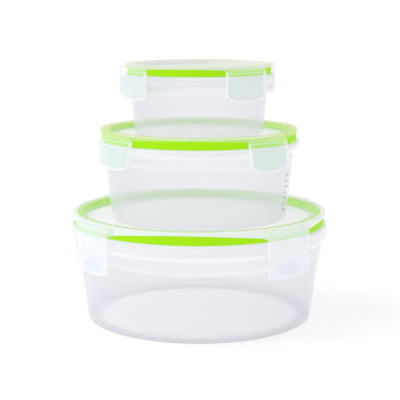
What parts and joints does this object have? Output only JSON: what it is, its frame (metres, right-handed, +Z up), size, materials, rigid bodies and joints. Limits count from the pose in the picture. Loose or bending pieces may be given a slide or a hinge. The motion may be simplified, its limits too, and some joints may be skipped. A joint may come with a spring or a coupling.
{
  "type": "snap lid food container",
  "caption": "Stack of round clear food containers in graded sizes, each a tapered tub and a sunk lid with a green seal and hinged side latches that snap under the tub's collar.",
  "frame": {"origin": "centre of the underside of the large tub, on the stack's axis", "axes": "+Z up along the stack's axis, -Y to the front, the large and medium containers' latches on X and Y"},
  "size_m": [0.2084, 0.2084, 0.2],
  "materials": {
    "tub_plastic": "clear moulded polypropylene, slightly hazy",
    "lid_plastic": "clear moulded polypropylene, slightly hazy",
    "latch_plastic": "frosted translucent polypropylene",
    "seal_silicone": "satin lime green silicone"
  },
  "bodies": {
    "large_tub": {"large_tub": "tub_plastic"},
    "large_lid": {"large_lid": "lid_plastic", "large_seal": "seal_silicone"},
    "large_latch_front": {"large_latch_front": "latch_plastic"},
    "large_latch_right": {"large_latch_right": "latch_plastic"},
    "large_latch_back": {"large_latch_back": "latch_plastic"},
    "large_latch_left": {"large_latch_left": "latch_plastic"},
    "medium_tub": {"medium_tub": "tub_plastic"},
    "medium_lid": {"medium_lid": "lid_plastic", "medium_seal": "seal_silicone"},
    "medium_latch_front": {"medium_latch_front": "latch_plastic"},
    "medium_latch_right": {"medium_latch_right": "latch_plastic"},
    "medium_latch_back": {"medium_latch_back": "latch_plastic"},
    "medium_latch_left": {"medium_latch_left": "latch_plastic"},
    "small_tub": {"small_tub": "tub_plastic"},
    "small_lid": {"small_lid": "lid_plastic", "small_seal": "seal_silicone"},
    "small_latch_front": {"small_latch_front": "latch_plastic"},
    "small_latch_right": {"small_latch_right": "latch_plastic"},
    "small_latch_back": {"small_latch_back": "latch_plastic"},
    "small_latch_left": {"small_latch_left": "latch_plastic"}
  },
  "joints": [
    {"name": "large_lid_lift", "type": "slide", "parent": "large_tub", "child": "large_lid", "axis": [0, 0, 1], "range_m": [0, 0.06]},
    {"name": "large_latch_front_hinge", "type": "hinge", "parent": "large_lid", "child": "large_latch_front", "pos_m": [0, -0.1042, 0.0782], "axis": [-1, 0, 0], "range_deg": [-3.5, 170]},
    {"name": "large_latch_right_hinge", "type": "hinge", "parent": "large_lid", "child": "large_latch_right", "pos_m": [0.1042, 0, 0.0782], "axis": [0, -1, 0], "range_deg": [-3.5, 170]},
    {"name": "large_latch_back_hinge", "type": "hinge", "parent": "large_lid", "child": "large_latch_back", "pos_m": [0, 0.1042, 0.0782], "axis": [1, 0, 0], "range_deg": [-3.5, 170]},
    {"name": "large_latch_left_hinge", "type": "hinge", "parent": "large_lid", "child": "large_latch_left", "pos_m": [-0.1042, 0, 0.0782], "axis": [0, 1, 0], "range_deg": [-3.5, 170]},
    {"name": "medium_tub_lift", "type": "slide", "parent": "large_lid", "child": "medium_tub", "axis": [0, 0, 1], "range_m": [0, 0.05]},
    {"name": "medium_lid_lift", "type": "slide", "parent": "medium_tub", "child": "medium_lid", "axis": [0, 0, 1], "range_m": [0, 0.05]},
    {"name": "medium_latch_front_hinge", "type": "hinge", "parent": "medium_lid", "child": "medium_latch_front", "pos_m": [0, -0.0804, 0.1468], "axis": [-1, 0, 0], "range_deg": [-3.5, 170]},
    {"name": "medium_latch_right_hinge", "type": "hinge", "parent": "medium_lid", "child": "medium_latch_right", "pos_m": [0.0804, 0, 0.1468], "axis": [0, -1, 0], "range_deg": [-3.5, 170]},
    {"name": "medium_latch_back_hinge", "type": "hinge", "parent": "medium_lid", "child": "medium_latch_back", "pos_m": [0, 0.0804, 0.1468], "axis": [1, 0, 0], "range_deg": [-3.5, 170]},
    {"name": "medium_latch_left_hinge", "type": "hinge", "parent": "medium_lid", "child": "medium_latch_left", "pos_m": [-0.0804, 0, 0.1468], "axis": [0, 1, 0], "range_deg": [-3.5, 170]},
    {"name": "small_tub_lift", "type": "slide", "parent": "medium_lid", "child": "small_tub", "axis": [0, 0, 1], "range_m": [0, 0.05]},
    {"name": "small_lid_lift", "type": "slide", "parent": "small_tub", "child": "small_lid", "axis": [0, 0, 1], "range_m": [0, 0.045]},
    {"name": "small_latch_front_hinge", "type": "hinge", "parent": "small_lid", "child": "small_latch_front", "pos_m": [-0.00495, -0.0615, 0.1972], "axis": [-0.9968, 0.0802, 0], "range_deg": [-3.5, 170]},
    {"name": "small_latch_right_hinge", "type": "hinge", "parent": "small_lid", "child": "small_latch_right", "pos_m": [0.0615, -0.00495, 0.1972], "axis": [-0.0802, -0.9968, 0], "range_deg": [-3.5, 170]},
    {"name": "small_latch_back_hinge", "type": "hinge", "parent": "small_lid", "child": "small_latch_back", "pos_m": [0.00495, 0.0615, 0.1972], "axis": [0.9968, -0.0802, 0], "range_deg": [-3.5, 170]},
    {"name": "small_latch_left_hinge", "type": "hinge", "parent": "small_lid", "child": "small_latch_left", "pos_m": [-0.0615, 0.00495, 0.1972], "axis": [0.0802, 0.9968, 0], "range_deg": [-3.5, 170]}
  ]
}
